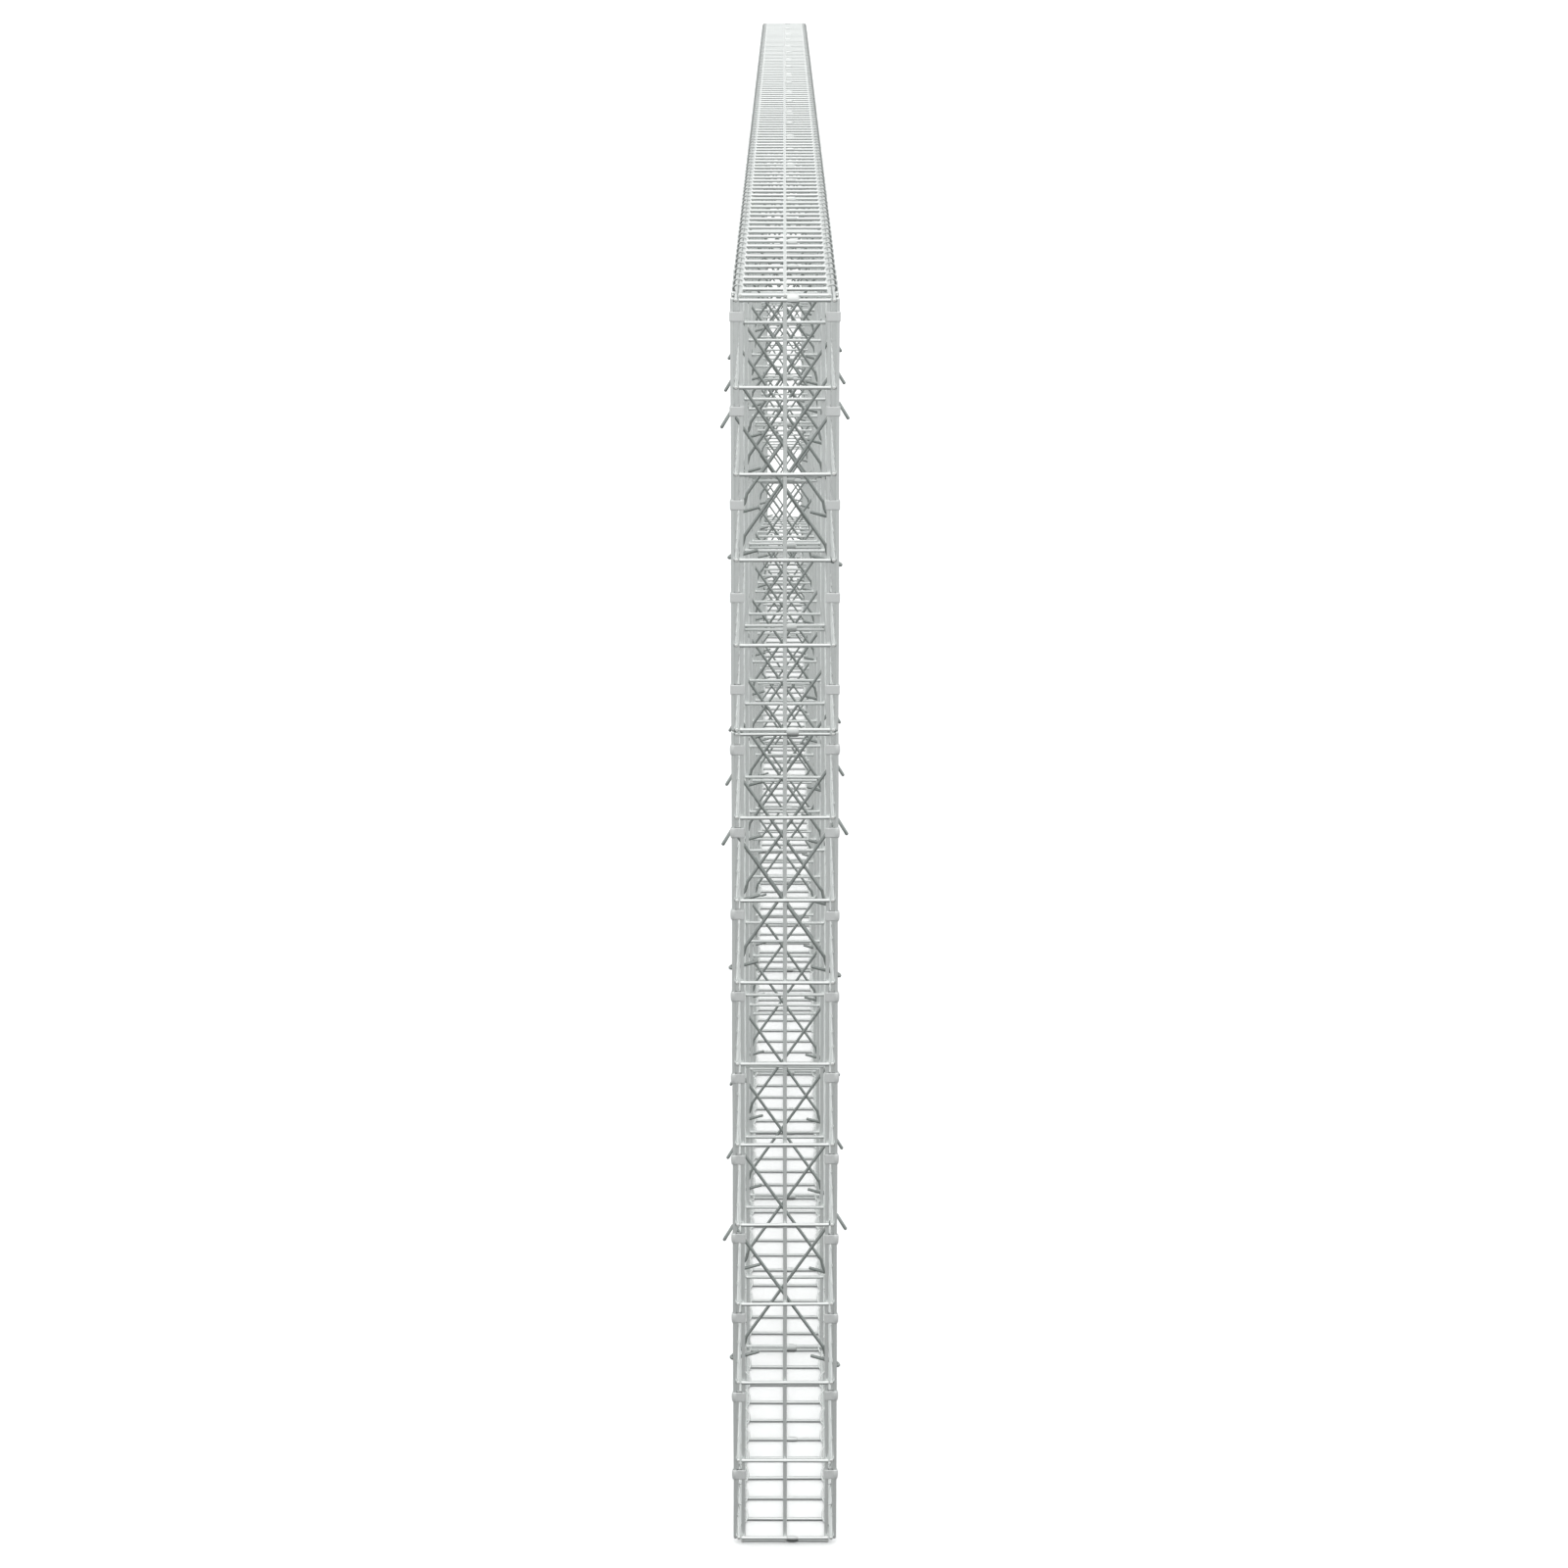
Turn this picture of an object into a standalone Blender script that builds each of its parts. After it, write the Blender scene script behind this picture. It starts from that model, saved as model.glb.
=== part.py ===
"""Long narrow wire-mesh wall cage: two tiers of welded side panels around cross panels, with a base mat,
a lid mat and crossed spacer rods. Metres, +Z up. X is across the wall and Y runs along it.
The origin is on the ground at the middle of the base."""

from math import cos, pi, sin

import bmesh
import bpy
from mathutils import Vector

# Driving dimensions
WIRE = 0.0045             # welded mesh wire, drawn here as a square bar
ROD = 0.0040              # spacer rod
GAP = 0.0003              # clearance between pieces that rest on each other
OVERHANG = 0.0002         # how far an upright runs past the outermost wire it crosses
LEVEL = 0.100             # height of one mesh cell in the panels
MODULE = 0.500            # distance between cross panels
MODULES = 11
LOWER_BAYS = 10
UPPER_BAYS = 5
WALL_WIRE_X = 0.0553      # centre of the wires that run along each side wall
WALL_END = 0.006          # how far the wall wires run past the first and last upright
CROSS_UPRIGHT_X = 0.0498  # centre of a cross panel's outer uprights
CROSS_HALF = 0.0525       # half the length of a cross panel's level wires
MAT_WIRE_X = 0.0503       # centre of a mat's outer long wires
MAT_HALF = 0.0528         # half the length of a mat's rungs
STRETCHES = ((0, 4), (4, 8), (8, 11))   # modules covered by each length of wall panel and mat
CUT_PAST = 0.025          # the lengths are cut in the middle of the mesh cell after a module's end

# Heights and places that follow from them
HALF = WIRE / 2
NEAR = -MODULE * MODULES / 2
FIRST_LEVEL = WIRE + GAP + OVERHANG + HALF
TIER_STEP = WIRE + GAP + 2 * OVERHANG
LOWER_LEVELS = [FIRST_LEVEL + LEVEL * bay for bay in range(LOWER_BAYS + 1)]
UPPER_LEVELS = [LOWER_LEVELS[-1] + TIER_STEP + LEVEL * bay for bay in range(UPPER_BAYS + 1)]
LID_BOTTOM = UPPER_LEVELS[-1] + HALF + OVERHANG + GAP
STATIONS = [NEAR + MODULE * module for module in range(MODULES + 1)]

# Spacer rod, seen along the wall. It hooks round an upright low on one side, rises across the cage,
# comes out over the other side and ends in a stub turned down.
ROD_STATION = 0.100       # the upright that a pair of rods hooks round, past the near end
ROD_LEVEL = {"falling": 0.1965, "rising": 0.206}    # height of the low bend above a tier's wire
ROD_RISE = 1.448
ROD_BEND_X = 0.0476
ROD_APEX_X = 0.0625
ROD_TIP_X = 0.0745
ROD_TIP_DROP = 0.020
ROD_HOOK_X = 0.0665
ROD_HOOK_DROP = 0.025
ROD_TAIL_X = 0.0315
ROD_TAIL_DROP = 0.015
ROD_BESIDE = HALF + ROD / 2 + GAP
ROD_SIDES = 6

ZINC = (0.60, 0.62, 0.615, 1.0)
DULL_ZINC = (0.36, 0.385, 0.375, 1.0)


def clear_scene():
    for thing in list(bpy.data.objects):
        bpy.data.objects.remove(thing, do_unlink=True)


def metal(name, colour, roughness):
    material = bpy.data.materials.new(name)
    material.use_nodes = True
    shader = material.node_tree.nodes["Principled BSDF"]
    shader.inputs["Base Color"].default_value = colour
    shader.inputs["Metallic"].default_value = 0.9
    shader.inputs["Roughness"].default_value = roughness
    material.diffuse_color = colour
    return material


def add_object(name, bm, material):
    bmesh.ops.recalc_face_normals(bm, faces=bm.faces)
    mesh = bpy.data.meshes.new(name)
    bm.to_mesh(mesh)
    bm.free()
    mesh.materials.append(material)
    bpy.context.scene.collection.objects.link(bpy.data.objects.new(name, mesh))


class Corners:
    """Makes each vertex once, so that faces given by their corner points share edges."""

    def __init__(self, place):
        self.bm = bmesh.new()
        self.place = place
        self.made = {}

    def at(self, point):
        key = tuple(round(value, 6) for value in point)
        if key not in self.made:
            self.made[key] = self.bm.verts.new(self.place(*point))
        return self.made[key]

    def face(self, *points):
        self.bm.faces.new([self.at(point) for point in points])


def add_bar(corners, upright, centre, ends, crossings, free, touching):
    """One square bar. Its touching side is open where it meets the other family of bars."""
    start, end = ends
    stops = [start]
    for crossing in crossings:
        stops += [crossing - HALF, crossing + HALF]
    stops.append(end)
    low, high = centre - HALF, centre + HALF

    def point(along, across, layer):
        return (across, along, layer) if upright else (along, across, layer)

    for side in (low, high):
        root = point(start, side, free)
        for first, second in zip(stops, stops[1:]):
            corners.face(root, point(first, side, touching), point(second, side, touching))
        corners.face(root, point(end, side, touching), point(end, side, free))
    for first, second in zip(stops[0::2], stops[1::2]):
        corners.face(point(first, low, touching), point(second, low, touching),
                     point(second, high, touching), point(first, high, touching))
    corners.face(point(start, low, free), point(end, low, free),
                 point(end, high, free), point(start, high, free))
    for tip in (start, end):
        corners.face(point(tip, low, free), point(tip, high, free),
                     point(tip, high, touching), point(tip, low, touching))


def welded_panel(name, place, rows, row_ends, columns, column_ends, material):
    """Level wires in one layer and uprights in the next, joined where they cross.
    place turns (along, up, layer) into a point."""
    corners = Corners(place)
    for row in rows:
        add_bar(corners, False, row, row_ends, columns, 0.0, WIRE)
    for column in columns:
        add_bar(corners, True, column, column_ends, rows, 2 * WIRE, WIRE)
    add_object(name, corners.bm, material)


def flat_mat(name, rungs, ends, bottom, material):
    """A mat one wire thick, with its long wires and rungs in one plane."""
    x_stops = [-MAT_HALF]
    for wire in (-MAT_WIRE_X, 0.0, MAT_WIRE_X):
        x_stops += [wire - HALF, wire + HALF]
    x_stops.append(MAT_HALF)
    y_stops = [ends[0]]
    for rung in rungs:
        y_stops += [rung - HALF, rung + HALF]
    y_stops.append(ends[1])

    def solid(i, j):
        inside = 0 <= i < len(x_stops) - 1 and 0 <= j < len(y_stops) - 1
        return inside and (i % 2 == 1 or j % 2 == 1)

    corners = Corners(lambda x, y, z: (x, y, z))
    for i, (x0, x1) in enumerate(zip(x_stops, x_stops[1:])):
        for j, (y0, y1) in enumerate(zip(y_stops, y_stops[1:])):
            if not solid(i, j):
                continue
            for z in (bottom, bottom + WIRE):
                corners.face((x0, y0, z), (x1, y0, z), (x1, y1, z), (x0, y1, z))
            edges = (((i - 1, j), (x0, y0), (x0, y1)), ((i + 1, j), (x1, y0), (x1, y1)),
                     ((i, j - 1), (x0, y0), (x1, y0)), ((i, j + 1), (x0, y1), (x1, y1)))
            for beside, a, b in edges:
                if not solid(*beside):
                    corners.face((*a, bottom), (*b, bottom), (*b, bottom + WIRE), (*a, bottom + WIRE))
    add_object(name, corners.bm, material)


def rod_route(side, past, low_bend, upright):
    """Centre line of a spacer rod with its low hook on the given side (+1 or -1), round an upright at a
    place along the wall. The rod crosses the cage just past the upright, or just before it."""
    crossing = upright + past * ROD_BESIDE
    behind = upright - past * ROD_BESIDE
    apex = low_bend + ROD_RISE * (ROD_BEND_X + ROD_APEX_X)
    hook = low_bend - ROD_HOOK_DROP
    points = (
        (side * ROD_TAIL_X, behind, low_bend - ROD_TAIL_DROP),
        (side * (ROD_HOOK_X - 0.004), behind, hook + 0.001),
        (side * ROD_HOOK_X, upright, hook),
        (side * (ROD_HOOK_X - 0.004), crossing, hook + 0.001),
        (side * (ROD_BEND_X + 0.003), crossing, low_bend - 0.014),
        (side * ROD_BEND_X, crossing, low_bend),
        (-side * ROD_APEX_X, crossing, apex),
        (-side * ROD_TIP_X, crossing, apex - ROD_TIP_DROP),
    )
    return [Vector(point) for point in points]


def bent_rod(name, route, material):
    """A rod of few sides swept along its route, with one ring of vertices at each bend."""
    bm = bmesh.new()
    rings = []
    across = (route[1] - route[0]).orthogonal()
    for index, here in enumerate(route):
        before = here - route[max(index - 1, 0)]
        after = route[min(index + 1, len(route) - 1)] - here
        along = (before.normalized() + after.normalized()).normalized()
        across = (across - across.dot(along) * along).normalized()
        other = along.cross(across)
        angles = [2 * pi * side / ROD_SIDES for side in range(ROD_SIDES)]
        rings.append([bm.verts.new(here + (across * cos(a) + other * sin(a)) * ROD / 2) for a in angles])
    for first, second in zip(rings, rings[1:]):
        for side in range(ROD_SIDES):
            following = (side + 1) % ROD_SIDES
            bm.faces.new((first[side], first[following], second[following], second[side]))
    bm.faces.new(rings[0])
    bm.faces.new(rings[-1])
    add_object(name, bm, material)


def tiers():
    """Each tier's name, the levels of its wires and the ends of its uprights."""
    for name, levels in (("lower", LOWER_LEVELS), ("upper", UPPER_LEVELS)):
        reach = HALF + OVERHANG
        yield name, levels, (levels[0] - reach, levels[-1] + reach)


def stretch_ends(index, end_past):
    """Where one length of wall panel or mat starts and ends, and the places of the modules' ends on it."""
    first, last = STRETCHES[index]
    start = STATIONS[first] + CUT_PAST + GAP / 2 if index else STATIONS[0] - end_past
    if index < len(STRETCHES) - 1:
        end = STATIONS[last] + CUT_PAST - GAP / 2
    else:
        end = STATIONS[last] + end_past
    return (start, end), [station for station in STATIONS if start < station < end]


def side_walls(material):
    for side, sign in (("left", -1), ("right", 1)):
        inner = WALL_WIRE_X - HALF
        for tier, levels, upright_ends in tiers():
            for index in range(len(STRETCHES)):
                ends, uprights = stretch_ends(index, WALL_END)
                welded_panel(f"{side}_wall_{tier}_{index + 1}",
                             lambda along, up, layer, sign=sign: (sign * (inner + layer), along, up),
                             levels, ends, uprights, upright_ends, material)


def end_panels(material):
    """The two end panels have all their level wires, on the outside of their uprights."""
    for name, station, sign in (("near", STATIONS[0], -1), ("far", STATIONS[-1], 1)):
        for tier, levels, upright_ends in tiers():
            welded_panel(f"{name}_end_{tier}",
                         lambda along, up, layer: (along, station + sign * (WIRE + HALF - layer), up),
                         levels, (-CROSS_HALF, CROSS_HALF),
                         (-CROSS_UPRIGHT_X, 0.0, CROSS_UPRIGHT_X), upright_ends, material)


def cross_panels(material):
    """The panels between modules, drawn with every fifth level wire."""
    for index, station in enumerate(STATIONS[1:-1]):
        for tier, levels, upright_ends in tiers():
            welded_panel(f"divider_{index + 1:02d}_{tier}",
                         lambda along, up, layer: (along, station - HALF + layer, up),
                         levels[::5], (-CROSS_HALF, CROSS_HALF),
                         (-CROSS_UPRIGHT_X, 0.0, CROSS_UPRIGHT_X), upright_ends, material)


def mats(material):
    """Base and lid mats, drawn with the rungs at the modules' ends."""
    for name, bottom in (("base_mat", 0.0), ("lid_mat", LID_BOTTOM)):
        for index in range(len(STRETCHES)):
            ends, rungs = stretch_ends(index, HALF + OVERHANG)
            flat_mat(f"{name}_{index + 1}", rungs, ends, bottom, material)


def spacer_rods(material):
    """The first crossed pair at each of three heights, both round the same upright. The one that falls to
    the right crosses just before it, and the other just past it."""
    heights = (("low", LOWER_LEVELS[0]), ("middle", LOWER_LEVELS[5]), ("high", UPPER_LEVELS[0]))
    for height, level in heights:
        for name, side, past in (("falling", 1, -1), ("rising", -1, 1)):
            route = rod_route(side, past, level + ROD_LEVEL[name], STATIONS[0] + ROD_STATION)
            bent_rod(f"spacer_{height}_{name}", route, material)


clear_scene()
zinc_wire = metal("zinc_wire", ZINC, 0.35)
spacer_wire = metal("spacer_wire", DULL_ZINC, 0.45)
side_walls(zinc_wire)
end_panels(zinc_wire)
cross_panels(zinc_wire)
mats(zinc_wire)
spacer_rods(spacer_wire)
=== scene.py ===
"""Looks for an empty gabion wall cage: welded mesh panels, mats, spacer rods, clips and lacing spirals,
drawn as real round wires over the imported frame. Metres, +Z up, Y along the wall."""

from math import atan2, cos, pi, radians, sin

import bpy
import numpy as np
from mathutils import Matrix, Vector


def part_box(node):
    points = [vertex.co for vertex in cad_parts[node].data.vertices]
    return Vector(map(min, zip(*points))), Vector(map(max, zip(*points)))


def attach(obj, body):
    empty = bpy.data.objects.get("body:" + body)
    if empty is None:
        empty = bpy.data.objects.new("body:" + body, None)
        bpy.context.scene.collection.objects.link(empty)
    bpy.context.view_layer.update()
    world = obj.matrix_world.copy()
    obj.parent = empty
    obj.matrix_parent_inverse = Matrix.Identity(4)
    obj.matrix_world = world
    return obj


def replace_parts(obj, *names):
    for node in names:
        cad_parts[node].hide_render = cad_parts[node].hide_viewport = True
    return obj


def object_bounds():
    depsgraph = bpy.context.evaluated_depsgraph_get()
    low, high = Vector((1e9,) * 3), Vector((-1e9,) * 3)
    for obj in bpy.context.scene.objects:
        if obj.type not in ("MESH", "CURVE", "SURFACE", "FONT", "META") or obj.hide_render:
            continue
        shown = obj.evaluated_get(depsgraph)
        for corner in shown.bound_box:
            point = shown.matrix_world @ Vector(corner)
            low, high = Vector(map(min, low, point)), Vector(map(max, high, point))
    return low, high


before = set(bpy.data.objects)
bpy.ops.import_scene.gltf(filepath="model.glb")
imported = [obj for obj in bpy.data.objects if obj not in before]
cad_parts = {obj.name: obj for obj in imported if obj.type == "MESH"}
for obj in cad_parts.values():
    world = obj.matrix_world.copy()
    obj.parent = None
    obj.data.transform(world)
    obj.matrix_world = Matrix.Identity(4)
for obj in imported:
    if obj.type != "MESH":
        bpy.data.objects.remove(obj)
frame_low, frame_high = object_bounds()

# ---------------------------------------------------------------------------------------------------
# Side walls. Each is a row of welded mesh panels in two tiers, factory-welded from galvanised wire:
# long wires along the wall, and uprights welded on their outer side every 50 mm.

WIRE = 0.0045             # drawn wire, thickness
WIRE_SIDES = 10
PITCH = 0.050             # between uprights, and between the rungs of a mat
LEVEL = 0.100             # between long wires
FLUSH = 0.0002            # how far an upright runs past the last wire it is welded to
PRESS = 0.0002            # how far each wire is pressed into the other at a weld
WAVE = 0.00022            # straightened wire keeps a slight wave
WAVE_LENGTH = 0.37
SHORT_WAVE = 0.00010
SECOND_WAVE = 1.7         # the wave across the first one, in turns for each of its turns
LONG_STEP = 0.06          # between the rings of points along a wire: long wires, uprights, short wires
UPRIGHT_STEP = 0.08
SHORT_STEP = 0.02
TIP_ROUND = 0.0009        # length over which a cut end is rounded
TIP_WIDTH = 0.62          # share of the wire's thickness left at its very end
HOLD = 0.0012             # a ring this far behind the rounding keeps the wire's sides straight
WELD_SPREAD = 0.0029      # half the width of a weld spot
WELD_DEPTH = 0.0017
SPOT_SHOULDER = (0.45, 0.86)    # height and width of a weld spot's rings, as shares of its own

near_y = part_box("near_end_lower")[1].y - WIRE / 2
far_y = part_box("far_end_lower")[0].y + WIRE / 2
lots = np.random.RandomState(7)


def between(start, end, step, wave):
    """Centre line of a straightened wire, with a slight wave of its own."""
    start = np.array(start, float)
    end = np.array(end, float)
    length = np.linalg.norm(end - start)
    share = np.linspace(0, 1, max(3, round(length / step) + 1))[:, None]
    direction = (end - start) / length
    side = np.cross(direction, (0.31, 0.52, 0.79))
    side /= np.linalg.norm(side)
    other = np.cross(direction, side)
    turns = 2 * pi * share * length / WAVE_LENGTH
    first, second = lots.uniform(0, 2 * pi, 2)
    swing = side * np.sin(turns + first) + other * np.sin(SECOND_WAVE * turns + second)
    return start + (end - start) * share + wave * swing


def swept(route, thickness, sides):
    """Rings of points round a centre line, with both ends rounded as a shear leaves them."""
    route = np.array(route, float)
    start_way = (route[1] - route[0]) / np.linalg.norm(route[1] - route[0])
    end_way = (route[-1] - route[-2]) / np.linalg.norm(route[-1] - route[-2])
    round_by = min(TIP_ROUND, thickness / 4)
    hold_by = round_by + HOLD
    first, last = route[:1], route[-1:]
    centres = np.vstack([first, first + start_way * round_by, first + start_way * hold_by, route[1:-1],
                         last - end_way * hold_by, last - end_way * round_by, last])
    widths = np.full(len(centres), thickness / 2)
    widths[[0, -1]] *= TIP_WIDTH
    ways = np.gradient(centres, axis=0)
    ways /= np.linalg.norm(ways, axis=1)[:, None]
    across = np.cross(ways[0], (0.23, 0.41, 0.88))
    angles = np.linspace(0, 2 * pi, sides, endpoint=False)
    rings = []
    for centre, way, width in zip(centres, ways, widths):
        across = across - across.dot(way) * way
        across /= np.linalg.norm(across)
        other = np.cross(way, across)
        rings.append(centre + width * (np.outer(np.cos(angles), across) + np.outer(np.sin(angles), other)))
    return np.array(rings)


def skin(rings):
    """Faces between neighbouring rings, each ring a loop."""
    count, sides = rings.shape[:2]
    ring, side = np.meshgrid(np.arange(count - 1), np.arange(sides), indexing="ij")
    low = ring * sides + side
    low_next = ring * sides + (side + 1) % sides
    return np.stack([low, low_next, low_next + sides, low + sides], axis=-1).reshape(-1, 4).tolist()


def pillow(sides=6):
    """A unit weld spot: two poles and two rings."""
    points = [(0, 0, -1)]
    shoulder, width = SPOT_SHOULDER
    for height in (-shoulder, shoulder):
        for turn in range(sides):
            angle = 2 * pi * (turn + 0.5) / sides
            points.append((width * cos(angle), width * sin(angle), height))
    points.append((0, 0, 1))
    faces = []
    for turn in range(sides):
        after = (turn + 1) % sides
        faces.append([0, 1 + after, 1 + turn])
        faces.append([1 + turn, 1 + after, 1 + sides + after, 1 + sides + turn])
        faces.append([1 + sides + turn, 1 + sides + after, 1 + 2 * sides])
    return np.array(points, float), faces


SPOT_POINTS, SPOT_FACES = pillow()


class WireWork:
    """Gathers wires and weld spots that make up one piece."""

    def __init__(self):
        self.points = []
        self.faces = []
        self.finishes = []
        self.tones = []
        self.count = 0

    def add(self, points, faces, finishes, tone):
        self.points.append(np.reshape(points, (-1, 3)))
        self.faces += [[corner + self.count for corner in face] for face in faces]
        self.finishes += finishes
        self.tones.append(np.full(len(self.points[-1]), tone))
        self.count += len(self.points[-1])

    def wire(self, route, thickness=WIRE, sides=WIRE_SIDES):
        rings = swept(route, thickness, sides)
        faces = skin(rings)
        last = (len(rings) - 1) * sides
        ends = [list(range(sides))[::-1], list(range(last, last + sides))]
        self.add(rings, faces + ends, [0] * len(faces) + [1, 1], lots.uniform(0, 1))

    def weld(self, place, normal_axis):
        order = {"x": (2, 0, 1), "y": (0, 2, 1), "z": (0, 1, 2)}[normal_axis]
        spread = WELD_SPREAD * lots.uniform(0.9, 1.1)
        points = SPOT_POINTS * (spread, spread, WELD_DEPTH)
        self.add(points[:, order] + place, SPOT_FACES, [2] * len(SPOT_FACES), lots.uniform(0, 1))

    def build(self, name, finishes):
        mesh = bpy.data.meshes.new(name)
        mesh.from_pydata(np.vstack(self.points), [], self.faces)
        for finish in finishes:
            mesh.materials.append(finish)
        mesh.polygons.foreach_set("material_index", self.finishes)
        mesh.polygons.foreach_set("use_smooth", [finish != 1 for finish in self.finishes])
        tone = mesh.attributes.new("wire_tone", "FLOAT", "POINT")
        tone.data.foreach_set("value", np.concatenate(self.tones).astype(np.float32))
        mesh.update()
        piece = bpy.data.objects.new(name, mesh)
        bpy.context.scene.collection.objects.link(piece)
        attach(piece, "root")
        return piece


def zinc_coat_group():
    """Hot-dip zinc on drawn wire: small spangle, duller patches, and a faint grain in the surface."""
    group = bpy.data.node_groups.new("zinc coat", "ShaderNodeTree")
    face = group.interface
    for name in ("Bright", "Dull"):
        face.new_socket(name, in_out="INPUT", socket_type="NodeSocketColor")
    for name in ("Spangle Scale", "Smooth", "Rough"):
        face.new_socket(name, in_out="INPUT", socket_type="NodeSocketFloat")
    face.new_socket("Color", in_out="OUTPUT", socket_type="NodeSocketColor")
    for name in ("Roughness", "Height"):
        face.new_socket(name, in_out="OUTPUT", socket_type="NodeSocketFloat")
    nodes = group.nodes
    link = group.links.new
    given = nodes.new("NodeGroupInput")
    out = nodes.new("NodeGroupOutput")
    place = nodes.new("ShaderNodeTexCoord")

    spangle = nodes.new("ShaderNodeTexVoronoi")
    link(place.outputs["Object"], spangle.inputs["Vector"])
    link(given.outputs["Spangle Scale"], spangle.inputs["Scale"])
    facet = nodes.new("ShaderNodeSeparateColor")
    link(spangle.outputs["Color"], facet.inputs["Color"])

    patches = nodes.new("ShaderNodeTexNoise")
    patches.inputs["Scale"].default_value = 9.0
    patches.inputs["Detail"].default_value = 2.0
    link(place.outputs["Object"], patches.inputs["Vector"])

    tone = nodes.new("ShaderNodeAttribute")
    tone.attribute_name = "wire_tone"

    spangled = nodes.new("ShaderNodeMix")
    spangled.inputs["Factor"].default_value = 0.06
    link(patches.outputs["Fac"], spangled.inputs["A"])
    link(facet.outputs["Red"], spangled.inputs["B"])
    toned = nodes.new("ShaderNodeMix")
    toned.inputs["Factor"].default_value = 0.25
    link(spangled.outputs["Result"], toned.inputs["A"])
    link(tone.outputs["Fac"], toned.inputs["B"])

    coloured = nodes.new("ShaderNodeMix")
    coloured.data_type = "RGBA"
    link(toned.outputs["Result"], coloured.inputs["Factor"])
    link(given.outputs["Dull"], coloured.inputs["A"])
    link(given.outputs["Bright"], coloured.inputs["B"])
    link(coloured.outputs["Result"], out.inputs["Color"])

    dulled = nodes.new("ShaderNodeMapRange")
    link(spangled.outputs["Result"], dulled.inputs["Value"])
    dulled.inputs["From Min"].default_value = 0.3
    dulled.inputs["From Max"].default_value = 0.7
    link(given.outputs["Rough"], dulled.inputs["To Min"])
    link(given.outputs["Smooth"], dulled.inputs["To Max"])
    link(dulled.outputs["Result"], out.inputs["Roughness"])

    grain = nodes.new("ShaderNodeTexNoise")
    grain.inputs["Scale"].default_value = 900.0
    grain.inputs["Detail"].default_value = 3.0
    link(place.outputs["Object"], grain.inputs["Vector"])
    raised = nodes.new("ShaderNodeMath")
    raised.operation = "MULTIPLY_ADD"
    link(facet.outputs["Green"], raised.inputs[0])
    raised.inputs[1].default_value = 0.4
    link(grain.outputs["Fac"], raised.inputs[2])
    link(raised.outputs["Value"], out.inputs["Height"])
    return group


zinc_coat = zinc_coat_group()


def zinc(name, bright, dull, smooth, rough, spangle=260.0, metallic=0.9, relief=0.000006):
    """A galvanised finish, from its bright and dull tones and the roughness that goes with each."""
    material = bpy.data.materials.new(name)
    material.use_nodes = True
    nodes = material.node_tree.nodes
    link = material.node_tree.links.new
    shader = nodes["Principled BSDF"]
    shader.inputs["Metallic"].default_value = metallic
    coat = nodes.new("ShaderNodeGroup")
    coat.node_tree = zinc_coat
    coat.inputs["Bright"].default_value = (*bright, 1.0)
    coat.inputs["Dull"].default_value = (*dull, 1.0)
    coat.inputs["Spangle Scale"].default_value = spangle
    coat.inputs["Smooth"].default_value = smooth
    coat.inputs["Rough"].default_value = rough
    link(coat.outputs["Color"], shader.inputs["Base Color"])
    link(coat.outputs["Roughness"], shader.inputs["Roughness"])
    bump = nodes.new("ShaderNodeBump")
    bump.inputs["Strength"].default_value = 0.05
    bump.inputs["Distance"].default_value = relief
    link(coat.outputs["Height"], bump.inputs["Height"])
    link(bump.outputs["Normal"], shader.inputs["Normal"])
    return material


wire_zinc = zinc("wire_zinc", (0.90, 0.92, 0.91), (0.80, 0.825, 0.815), 0.28, 0.32)
cut_end = zinc("cut_end", (0.93, 0.93, 0.91), (0.78, 0.78, 0.76), 0.38, 0.55, spangle=900.0)
weld_zinc = zinc("weld_zinc", (0.80, 0.82, 0.81), (0.60, 0.62, 0.61), 0.40, 0.58, spangle=700.0)
PANEL_FINISHES = (wire_zinc, cut_end, weld_zinc)


def levels_of(node):
    """Heights of the level wires of a panel, from the box of its node."""
    low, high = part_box(node)
    reach = WIRE / 2 + FLUSH
    bays = round((high.z - low.z - 2 * reach) / LEVEL)
    return [low.z + reach + LEVEL * bay for bay in range(bays + 1)]


def crossings_of(low, high):
    """Places along the wall, one each 50 mm from the near end, that fall between two others."""
    count = round((far_y - near_y) / PITCH)
    return [near_y + PITCH * step for step in range(count + 1) if low < near_y + PITCH * step < high]


for side, sign in (("left", -1), ("right", 1)):
    for tier in ("lower", "upper"):
        for length in (1, 2, 3):
            node = f"{side}_wall_{tier}_{length}"
            low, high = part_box(node)
            inner = min(abs(low.x), abs(high.x))
            long_x = sign * (inner + WIRE / 2 + PRESS)
            upright_x = sign * (inner + 3 * WIRE / 2 - PRESS)
            weld_x = sign * (inner + WIRE)
            panel = WireWork()
            for level in levels_of(node):
                start, end = (long_x, low.y, level), (long_x, high.y, level)
                panel.wire(between(start, end, LONG_STEP, WAVE))
            for upright in crossings_of(low.y, high.y):
                start, end = (upright_x, upright, low.z), (upright_x, upright, high.z)
                panel.wire(between(start, end, UPRIGHT_STEP, WAVE))
                for level in levels_of(node):
                    panel.weld((weld_x, upright, level), "x")
            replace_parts(panel.build(f"{node}_mesh", PANEL_FINISHES), node)

# ---------------------------------------------------------------------------------------------------
# Cross panels. Two close the ends and ten more divide the cage into modules of half a metre, each in
# two tiers: three uprights with a level wire welded across them at every mesh level.

UPRIGHTS_X = (-0.0498, 0.0, 0.0498)
LEVEL_WIRE_SAG = 0.0003   # a level wire isn't welded quite square


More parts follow.
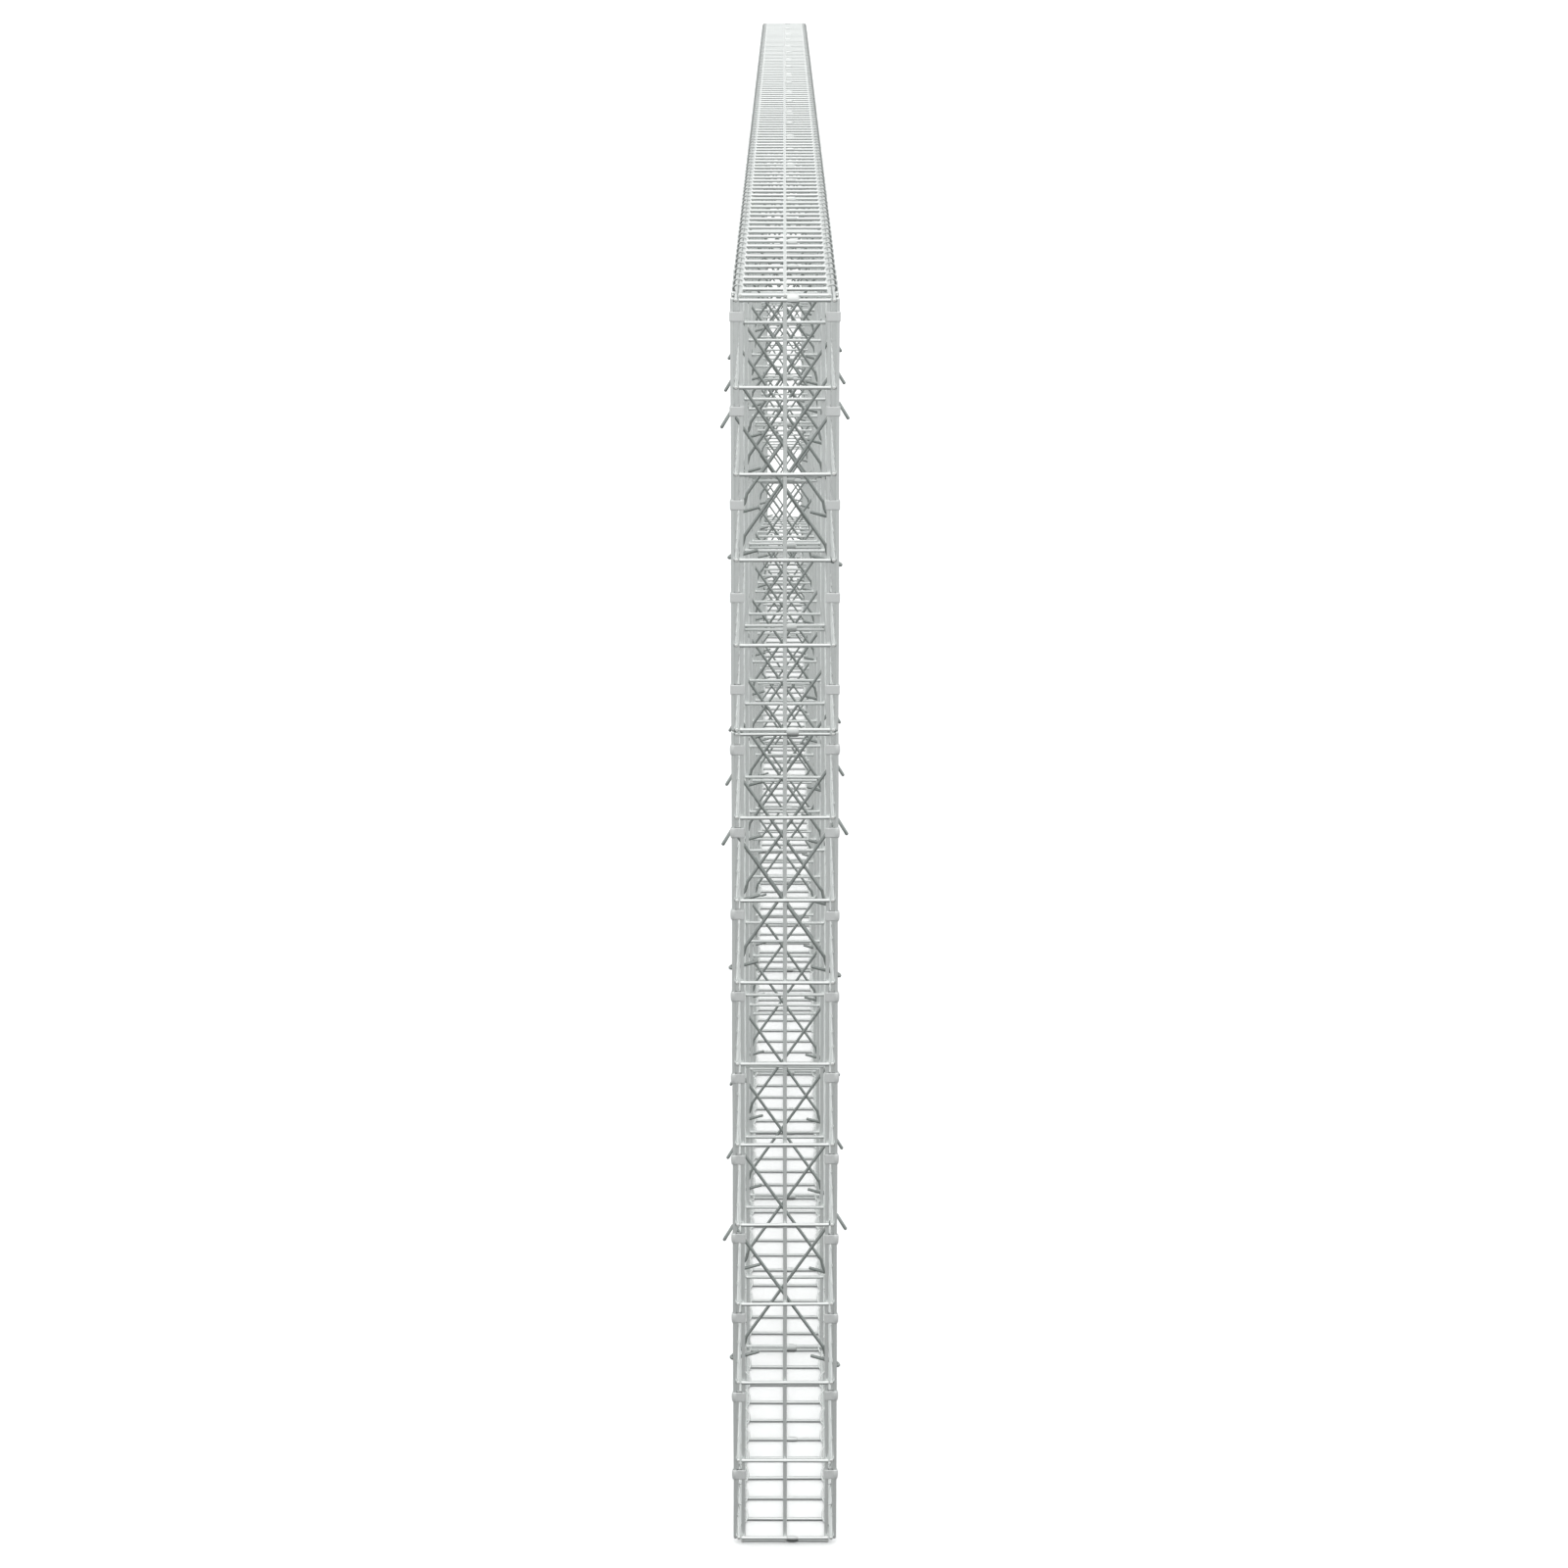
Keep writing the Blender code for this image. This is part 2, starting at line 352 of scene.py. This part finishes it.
def cross_panel(node, level_y, upright_y):
    low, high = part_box(node)
    weld_y = (level_y + upright_y) / 2
    toward = PRESS if upright_y > level_y else -PRESS
    panel = WireWork()
    for level in levels_of(node):
        tilt = lots.uniform(-LEVEL_WIRE_SAG, LEVEL_WIRE_SAG)
        start = (low.x, level_y + toward, level + tilt)
        end = (high.x, level_y + toward, level - tilt)
        panel.wire(between(start, end, SHORT_STEP, SHORT_WAVE))
        for upright in UPRIGHTS_X:
            panel.weld((upright, weld_y, level), "y")
    for upright in UPRIGHTS_X:
        start = (upright, upright_y - toward, low.z)
        end = (upright, upright_y - toward, high.z)
        panel.wire(between(start, end, UPRIGHT_STEP, WAVE))
    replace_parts(panel.build(f"{node}_mesh", PANEL_FINISHES), node)


for tier in ("lower", "upper"):
    cross_panel(f"near_end_{tier}", near_y - WIRE, near_y)
    cross_panel(f"far_end_{tier}", far_y + WIRE, far_y)
    for number in range(1, 11):
        node = f"divider_{number:02d}_{tier}"
        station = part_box(node)[0].y + WIRE / 2
        cross_panel(node, station, station + WIRE)

# ---------------------------------------------------------------------------------------------------
# Base mat and lid mat. Three long wires with a rung welded across every 50 mm, laid in three lengths
# under and over the panels.

MAT_WIRES_X = (-0.0503, 0.0, 0.0503)

for name in ("base_mat", "lid_mat"):
    for length in (1, 2, 3):
        node = f"{name}_{length}"
        low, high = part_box(node)
        middle = (low.z + high.z) / 2
        mat = WireWork()
        for x in MAT_WIRES_X:
            mat.wire(between((x, low.y, middle), (x, high.y, middle), LONG_STEP, SHORT_WAVE))
        for rung in crossings_of(low.y, high.y):
            skew = lots.uniform(-LEVEL_WIRE_SAG, LEVEL_WIRE_SAG)
            start = (low.x, rung + skew, middle)
            end = (high.x, rung - skew, middle)
            mat.wire(between(start, end, SHORT_STEP, SHORT_WAVE))
            for x in MAT_WIRES_X:
                mat.weld((x, rung, middle), "z")
        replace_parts(mat.build(f"{node}_mesh", PANEL_FINISHES), node)

# ---------------------------------------------------------------------------------------------------
# Spacer rods. A crossed pair every 250 mm at three heights keeps the walls apart. Each is a thinner,
# darker rod, hooked low round a wall upright, that rises across and turns down outside the other wall.

ROD = 0.0040
ROD_SIDES = 8
ROD_FIRST = 0.100         # first pair, past the near end
ROD_STEP = 0.250
ROD_LOW_BEND = {"falling": 0.1965, "rising": 0.206}    # above the tier's level wire
ROD_RISE = 1.448
ROD_BEND_X = 0.0476
ROD_APEX_X = 0.0625
ROD_TIP_X = 0.0745
ROD_TIP_DROP = 0.020
ROD_HOOK_X = 0.0665
ROD_HOOK_DROP = 0.025
ROD_TAIL_X = 0.0315
ROD_TAIL_DROP = 0.015
ROD_BESIDE = WIRE / 2 + ROD / 2 + 0.0003
ROD_TURN = 0.006          # length of rod, either side of a bend, that the bend takes up
ROD_HOOK_SIDE = 0.003     # the hook's corners stand this far in from its outermost point
ROD_HOOK_RISE = 0.001     # and this far above it
ROD_KNEE = (0.003, 0.014)       # the bend's lower corner: further out, and below it
ROD_SLACK = 0.0012

spacer_zinc = zinc("spacer_zinc", (0.46, 0.49, 0.48), (0.29, 0.315, 0.305), 0.30, 0.48, spangle=420.0)
spacer_cut = zinc("spacer_cut", (0.62, 0.62, 0.60), (0.42, 0.42, 0.40), 0.40, 0.55, spangle=900.0)


def rounded(points, steps=4):
    """The same route with each bend turned on a short curve."""
    points = np.array(points, float)
    route = [points[0]]
    for before, here, after in zip(points, points[1:], points[2:]):
        before_share = ROD_TURN / np.linalg.norm(here - before)
        after_share = ROD_TURN / np.linalg.norm(after - here)
        reach = min(0.42, before_share, after_share)
        start = here + (before - here) * reach
        end = here + (after - here) * reach
        for share in np.linspace(0, 1, steps):
            route.append((1 - share) ** 2 * start + 2 * share * (1 - share) * here + share ** 2 * end)
    route.append(points[-1])
    return route


def rod_route(side, past, bend, upright):
    crossing = upright + past * ROD_BESIDE
    behind = upright - past * ROD_BESIDE
    apex = bend + ROD_RISE * (ROD_BEND_X + ROD_APEX_X)
    hook = bend - ROD_HOOK_DROP
    hook_side = side * (ROD_HOOK_X - ROD_HOOK_SIDE)
    return rounded((
        (side * ROD_TAIL_X, behind, bend - ROD_TAIL_DROP),
        (hook_side, behind, hook + ROD_HOOK_RISE),
        (side * ROD_HOOK_X, upright, hook),
        (hook_side, crossing, hook + ROD_HOOK_RISE),
        (side * (ROD_BEND_X + ROD_KNEE[0]), crossing, bend - ROD_KNEE[1]),
        (side * ROD_BEND_X, crossing, bend),
        (-side * ROD_APEX_X, crossing, apex),
        (-side * ROD_TIP_X, crossing, apex - ROD_TIP_DROP),
    ))


lower_levels = levels_of("near_end_lower")
upper_levels = levels_of("near_end_upper")
rod_places = np.arange(near_y + ROD_FIRST, far_y, ROD_STEP)
for height, level in (("low", lower_levels[0]), ("middle", lower_levels[5]), ("high", upper_levels[0])):
    for name, side, past in (("falling", 1, -1), ("rising", -1, 1)):
        rods = WireWork()
        for upright in rod_places:
            slack = lots.uniform(-ROD_SLACK, ROD_SLACK)
            rods.wire(rod_route(side, past, level + ROD_LOW_BEND[name] + slack, upright), ROD, ROD_SIDES)
        piece = rods.build(f"spacers_{height}_{name}", (spacer_zinc, spacer_cut))
        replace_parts(piece, f"spacer_{height}_{name}")

# ---------------------------------------------------------------------------------------------------
# Corner clips. Strips of galvanised steel, wrapped round a corner's two uprights and pinched between
# them with pliers. Those of the upper tier are plain bands.

CLIP_THICK = 0.0008
CLIP_GAP = 0.0002         # between the strip and the wires inside it
CLIP_TALL = 0.0120
CLIP_BULGE = 0.0006       # how far the half round the wall's upright swells at its middle
CLIP_WAIST = 0.0012       # half the thickness left between the two wires
CLIP_DROP = 0.0188        # below each level wire in the lower tier
BAND_TALL = 0.0115
BAND_DROP = 0.0190        # below the top wire in the upper tier
BAND_STEP = 0.1085
CORNER_X = (0.0498, 0.0598)
CLIP_SLACK = 0.001

clip_zinc = zinc("clip_zinc", (0.92, 0.935, 0.93), (0.83, 0.845, 0.84), 0.30, 0.36,
                 spangle=350.0, metallic=0.6)


def pinched_outline(half_gap, reach, waist, swell, steps=13):
    """Outline round two wires, drawn in to the waist between them, with the wall's side swollen."""
    outline = []
    for angle in np.linspace(-pi / 2, pi / 2, steps):
        outline.append((half_gap + (reach + swell) * cos(angle), (reach + swell) * sin(angle)))
    for share in np.linspace(1, -1, steps)[1:-1]:
        full = reach + swell * max(share, 0)
        outline.append((half_gap * share, waist + (full - waist) * share * share * (3 - 2 * abs(share))))
    for angle in np.linspace(pi / 2, 3 * pi / 2, steps):
        outline.append((-half_gap + reach * cos(angle), reach * sin(angle)))
    for share in np.linspace(-1, 1, steps)[1:-1]:
        full = reach + swell * max(share, 0)
        outline.append((half_gap * share, -waist - (full - waist) * share * share * (3 - 2 * abs(share))))
    return np.array(outline)


def add_band(work, centre, sign, half_gap, tall, waist, bulge):
    """A strip wrapped round two uprights: up its outside, whose edges are rounded, and down its inside."""
    inside = WIRE / 2 + CLIP_GAP
    outside = inside + CLIP_THICK
    shoulder = inside + CLIP_THICK * 0.6
    top_edge = [(outside, 0.80), (outside - 0.0001, 0.93), (shoulder, 1.0), (inside, 0.96)]
    foot_edge = [(reach, -end) for reach, end in reversed(top_edge)]
    middle = [(outside, -0.4), (outside, 0.0), (outside, 0.4)]
    stations = foot_edge + middle + top_edge + foot_edge[:1]
    rings = []
    for reach, end in stations:
        swell = bulge * (1 - end * end) if reach > inside else 0.0
        outline = pinched_outline(half_gap, reach, waist + reach - inside, swell) * (sign, 1)
        z = np.full((len(outline), 1), end * tall / 2)
        rings.append(np.hstack([outline, z]) + centre)
    rings = np.array(rings)
    faces = skin(rings)
    if sign < 0:
        faces = [face[::-1] for face in faces]
    smooth_rows = (0, 1, 2, 7, 8, 9)
    finishes = [0 if face // rings.shape[1] in smooth_rows else 1 for face in range(len(faces))]
    work.add(rings, faces, finishes, lots.uniform(0, 1))


clip_middle_x = sum(CORNER_X) / 2
clip_half_gap = (CORNER_X[1] - CORNER_X[0]) / 2
for corner, sign, corner_y in (("near_left", -1, near_y), ("near_right", 1, near_y),
                               ("far_left", -1, far_y), ("far_right", 1, far_y)):
    clips = WireWork()
    for level in lower_levels[1:]:
        height = level - CLIP_DROP + lots.uniform(-CLIP_SLACK, CLIP_SLACK)
        place = (sign * clip_middle_x, corner_y, height)
        add_band(clips, place, sign, clip_half_gap, CLIP_TALL, CLIP_WAIST, CLIP_BULGE)
    height = upper_levels[-1] - BAND_DROP
    while height > upper_levels[0]:
        place = (sign * clip_middle_x, corner_y, height)
        add_band(clips, place, sign, clip_half_gap, BAND_TALL, WIRE / 2, 0.0)
        height -= BAND_STEP
    clips.build(f"corner_clips_{corner}", (clip_zinc, clip_zinc))

# ---------------------------------------------------------------------------------------------------
# Mat clips. Short ties crimped round the rungs beside the middle wire, every fifth rung, and round the
# doubled wires where the tiers meet. Crimping leaves each fat in the middle and thin at its ends.

TIE_X = 0.009
TIE_LONG = 0.0142
TIE_STEP = 0.250
TIE_FAT = 0.0011          # added to its thickness at its middle
TIE_GAP = 0.00015
TIE_CURVE = 0.9           # how fully it keeps that thickness toward its ends


tie_zinc = zinc("tie_zinc", (0.86, 0.88, 0.87), (0.70, 0.72, 0.71), 0.30, 0.44, spangle=350.0)


def add_tie(work, middle, apart, length=TIE_LONG, sides=12, steps=10):
    """One crimped tie. apart is the offset, in y and z, from its middle to each of its two wires."""
    gap = np.linalg.norm(apart)
    tilt = atan2(apart[1], apart[0]) if gap else 0.0
    angles = np.linspace(0, 2 * pi, sides, endpoint=False)
    rings = []
    for share in np.linspace(-1, 1, steps):
        fat = WIRE / 2 + TIE_GAP + TIE_FAT * (1 - share * share) ** TIE_CURVE
        along = (gap + fat) * np.cos(angles)
        across = fat * np.sin(angles)
        y = along * cos(tilt) - across * sin(tilt)
        z = along * sin(tilt) + across * cos(tilt)
        rings.append(np.stack([np.full(sides, share * length / 2), y, z], axis=1) + middle)
    rings = np.array(rings)
    rings[..., 2] = np.maximum(rings[..., 2], 0.0)      # pressed flat where it lies on the ground
    faces = skin(rings)
    last = (steps - 1) * sides
    ends = [list(range(sides))[::-1], list(range(last, last + sides))]
    work.add(rings, faces + ends, [0] * (len(faces) + 2), lots.uniform(0, 1))


base_z = (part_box("base_mat_1")[0].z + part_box("base_mat_1")[1].z) / 2
lid_z = (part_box("lid_mat_1")[0].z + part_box("lid_mat_1")[1].z) / 2
for name, mat_z, panel_z in (("base", base_z, lower_levels[0]), ("lid", lid_z, upper_levels[-1])):
    ties = WireWork()
    for rung in np.arange(near_y, far_y + PITCH / 2, TIE_STEP):
        if rung < near_y + PITCH:
            apart = (-WIRE / 2, (panel_z - mat_z) / 2)
        elif rung > far_y - PITCH:
            apart = (WIRE / 2, (panel_z - mat_z) / 2)
        elif round((rung - near_y) / TIE_STEP) % 2 == 0:
            apart = (0.0, (panel_z - mat_z) / 2)
        else:
            apart = (0.0, 0.0)
        add_tie(ties, (TIE_X, rung + apart[0], mat_z + apart[1]), apart)
    ties.build(f"{name}_mat_clips", (tie_zinc,))

tier_ties = WireWork()
tier_half = (upper_levels[0] - lower_levels[-1]) / 2
MODULES = 11
for number in range(MODULES + 1):
    station = near_y + (far_y - near_y) * number / MODULES
    out = -WIRE if number == 0 else WIRE if number == MODULES else 0.0
    add_tie(tier_ties, (TIE_X, station + out, lower_levels[-1] + tier_half), (0.0, tier_half))
tier_ties.build("tier_clips", (tie_zinc,))

# ---------------------------------------------------------------------------------------------------
# Lacing spirals. A spiral of thinner wire is screwed in along each of the four long edges, one turn
# to a mesh cell, and ties the mat's outer wire to the wall's last wire.

SPIRAL_WIRE = 0.0025
SPIRAL_RADIUS = 0.0068
SPIRAL_STEPS = 16         # points to a turn
SPIRAL_SIDES = 6
SPIRAL_OUT = 0.0022       # its middle line, outside the mat's outer wire
SPIRAL_BASE_Z = 0.0070
SPIRAL_LID_DROP = 0.0028  # below the lid's wires

spiral_zinc = zinc("spiral_zinc", (0.88, 0.90, 0.89), (0.70, 0.725, 0.715), 0.24, 0.42)

for side, sign in (("left", -1), ("right", 1)):
    for edge, middle_z in (("base", SPIRAL_BASE_Z), ("lid", lid_z - SPIRAL_LID_DROP)):
        turns = round((far_y - near_y) / PITCH) - 1
        turn = np.linspace(0, turns, turns * SPIRAL_STEPS + 1)
        angle = 2 * pi * turn + pi / 2
        x = sign * (MAT_WIRES_X[2] + SPIRAL_OUT + SPIRAL_RADIUS * np.sin(angle))
        z = middle_z + SPIRAL_RADIUS * np.cos(angle)
        z = np.clip(z, SPIRAL_WIRE / 2, frame_high.z + SPIRAL_WIRE / 2)
        route = np.stack([x, near_y + PITCH * (turn + 0.5), z], axis=1)
        spiral = WireWork()
        spiral.wire(route, SPIRAL_WIRE, SPIRAL_SIDES)
        spiral.build(f"{side}_{edge}_spiral", (spiral_zinc, cut_end))

# ---------------------------------------------------------------------------------------------------
# Studio. A pale floor lit a little from beneath, a white surround that darkens downward, a weak and
# very soft light overhead, and the camera, before the near end and looking along the cage.

CAMERA_HEIGHT = 2.023
CAMERA_BACK = 3.6275
CAMERA_TILT = 9.64
CAMERA_LENS = 74.5
CAMERA_SHIFT = -0.25
CAMERA_X = -0.0011

FLOOR_X = 80
FLOOR_Y = (-60, 110)
FLOOR_Z = -0.0004
OVERHEAD_ENERGY = 0.3
OVERHEAD_SPREAD = 60
SURROUND_LOWEST = (0.06, (0.04, 0.043, 0.043, 1.0))      # place on the ramp from straight down to up
SURROUND_HIGHEST = (0.95, (1.06, 1.06, 1.06, 1.0))
SURROUND_BETWEEN = ((0.265, 0.36), (0.43, 0.60), (0.62, 0.87))

floor_mesh = bpy.data.meshes.new("floor")
floor_corners = [(-FLOOR_X, FLOOR_Y[0], FLOOR_Z), (FLOOR_X, FLOOR_Y[0], FLOOR_Z),
                 (FLOOR_X, FLOOR_Y[1], FLOOR_Z), (-FLOOR_X, FLOOR_Y[1], FLOOR_Z)]
floor_mesh.from_pydata(floor_corners, [], [(0, 1, 2, 3)])
floor = bpy.data.objects.new("floor", floor_mesh)
bpy.context.scene.collection.objects.link(floor)
floor_paint = bpy.data.materials.new("floor_paint")
floor_paint.use_nodes = True
floor_shader = floor_paint.node_tree.nodes["Principled BSDF"]
floor_shader.inputs["Base Color"].default_value = (0.95, 0.955, 0.955, 1.0)
floor_shader.inputs["Roughness"].default_value = 0.7
floor_shader.inputs["Emission Color"].default_value = (0.98, 1.0, 1.0, 1.0)
floor_shader.inputs["Emission Strength"].default_value = 0.17
floor_mesh.materials.append(floor_paint)
floor.visible_glossy = False
floor.visible_diffuse = False

world = bpy.data.worlds.new("studio")
world.use_nodes = True
bpy.context.scene.world = world
sky = world.node_tree.nodes
sky_link = world.node_tree.links.new
way = sky.new("ShaderNodeTexCoord")
parts = sky.new("ShaderNodeSeparateXYZ")
sky_link(way.outputs["Generated"], parts.inputs["Vector"])
shade = sky.new("ShaderNodeMapRange")
shade.inputs["From Min"].default_value = -1.0
sky_link(parts.outputs["Z"], shade.inputs["Value"])
ramp = sky.new("ShaderNodeValToRGB")
for stop, (height, colour) in zip(ramp.color_ramp.elements, (SURROUND_LOWEST, SURROUND_HIGHEST)):
    stop.position = height
    stop.color = colour
for height, brightness in SURROUND_BETWEEN:
    step = ramp.color_ramp.elements.new(height)
    step.color = (brightness * 0.98, brightness, brightness * 0.995, 1.0)
sky_link(shade.outputs["Result"], ramp.inputs["Fac"])
seen = sky.new("ShaderNodeLightPath")
surround = sky.new("ShaderNodeMix")
surround.data_type = "RGBA"
surround.inputs["B"].default_value = (0.985, 0.99, 0.99, 1.0)
sky_link(seen.outputs["Is Camera Ray"], surround.inputs["Factor"])
sky_link(ramp.outputs["Color"], surround.inputs["A"])
sky_link(surround.outputs["Result"], sky["Background"].inputs["Color"])
sky["Background"].inputs["Strength"].default_value = 1.05

overhead_data = bpy.data.lights.new("overhead", "SUN")
overhead_data.energy = OVERHEAD_ENERGY
overhead_data.angle = radians(OVERHEAD_SPREAD)
overhead = bpy.data.objects.new("overhead", overhead_data)
overhead.rotation_euler = (radians(10), radians(-4), 0.0)
bpy.context.scene.collection.objects.link(overhead)

camera_data = bpy.data.cameras.new("camera")
camera_data.lens = CAMERA_LENS
camera_data.sensor_width = 36.0
camera_data.shift_y = CAMERA_SHIFT
camera_data.clip_end = 300.0
camera = bpy.data.objects.new("camera", camera_data)
camera.location = (CAMERA_X, near_y - CAMERA_BACK, CAMERA_HEIGHT)
camera.rotation_euler = (radians(90 - CAMERA_TILT), 0.0, 0.0)
bpy.context.scene.collection.objects.link(camera)
bpy.context.scene.camera = camera
bpy.context.scene.view_settings.view_transform = "Standard"
